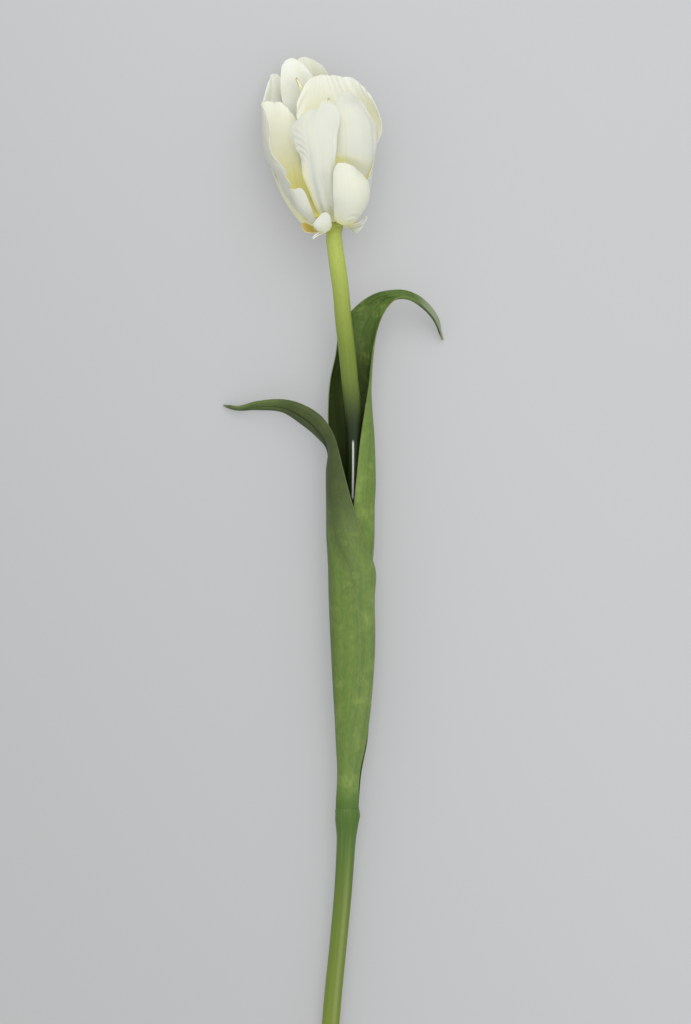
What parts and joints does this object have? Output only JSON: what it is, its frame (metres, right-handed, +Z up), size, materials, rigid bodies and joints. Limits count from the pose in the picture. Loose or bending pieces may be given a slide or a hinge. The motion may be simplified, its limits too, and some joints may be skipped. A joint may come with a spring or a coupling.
{
  "type": "parrot tulip",
  "caption": "Cut parrot tulip lying down: slender green stem, clasping leaves with arched tips, and a loose bloom of layered, ruffled white petals.",
  "frame": {"origin": "under the middle of the lying flower, on the surface it rests on", "axes": "+Y along the stem towards the bloom, +Z up, +X towards the right leaf's side"},
  "size_m": [0.0944, 0.4418, 0.049],
  "materials": {
    "stem": "smooth, slightly waxy fresh plant stem",
    "leaf": "waxy, parallel-veined fresh leaf",
    "petal": "soft satin petal, white with green in the hollows",
    "petal_yellow": "soft satin petal, yellow-green",
    "pistil": "smooth, matte",
    "stamen": "matte, powdery"
  },
  "bodies": {
    "root": {"stem": "stem", "leaf_lower": "leaf", "leaf_upper": "leaf", "petal_front": "petal", "petal_front_right": "petal", "petal_low_right": "petal", "petal_inner_right": "petal", "petal_back": "petal", "petal_back_inner": "petal", "petal_left_back": "petal", "petal_left": "petal", "petal_right_back": "petal", "petal_low_left": "petal", "petal_low_centre": "petal", "petal_low_curl": "petal", "petal_right_curl": "petal", "petal_right_lobe": "petal", "petal_low_cup": "petal_yellow", "petaloid_left": "petal_yellow", "petaloid_right": "petal_yellow", "pistil": "pistil", "stamen_1": "stamen", "stamen_2": "stamen", "stamen_3": "stamen", "stamen_4": "stamen", "stamen_5": "stamen", "stamen_6": "stamen"}
  },
  "joints": []
}
